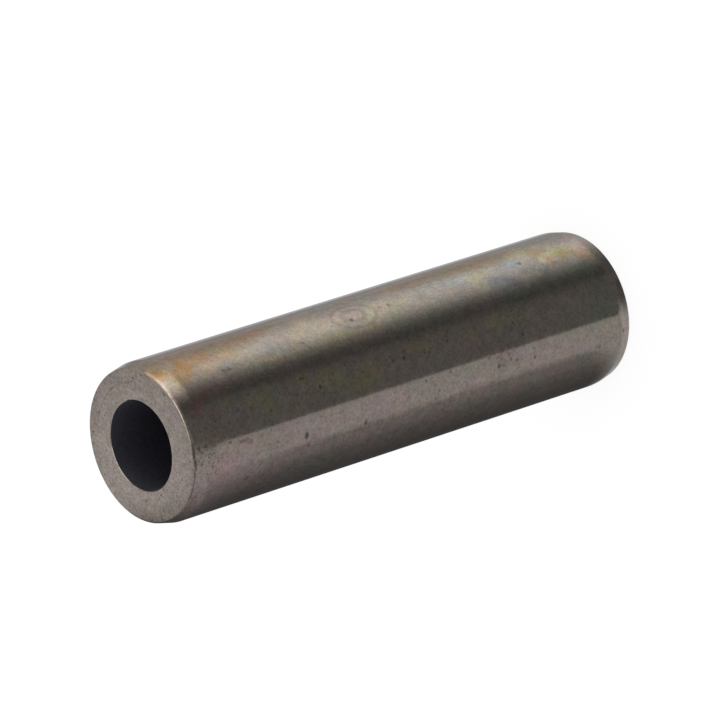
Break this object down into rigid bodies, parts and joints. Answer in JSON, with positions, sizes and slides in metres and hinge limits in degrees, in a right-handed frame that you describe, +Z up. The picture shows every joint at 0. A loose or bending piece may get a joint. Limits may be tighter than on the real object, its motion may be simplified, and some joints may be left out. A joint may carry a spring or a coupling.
{
  "type": "valve guide",
  "caption": "Plain thick-walled valve guide: a ground iron tube with a straight bore and a shallow lead-in cone at each end.",
  "frame": {"origin": "centre of the lower end face, on the axis of the bore", "axes": "+Z up along the bore; any direction across it may be X, as the guide is round"},
  "size_m": [0.016, 0.016, 0.0576],
  "materials": {
    "ground_iron": "ground and stained"
  },
  "bodies": {
    "root": {"valve_guide": "ground_iron"}
  },
  "joints": []
}
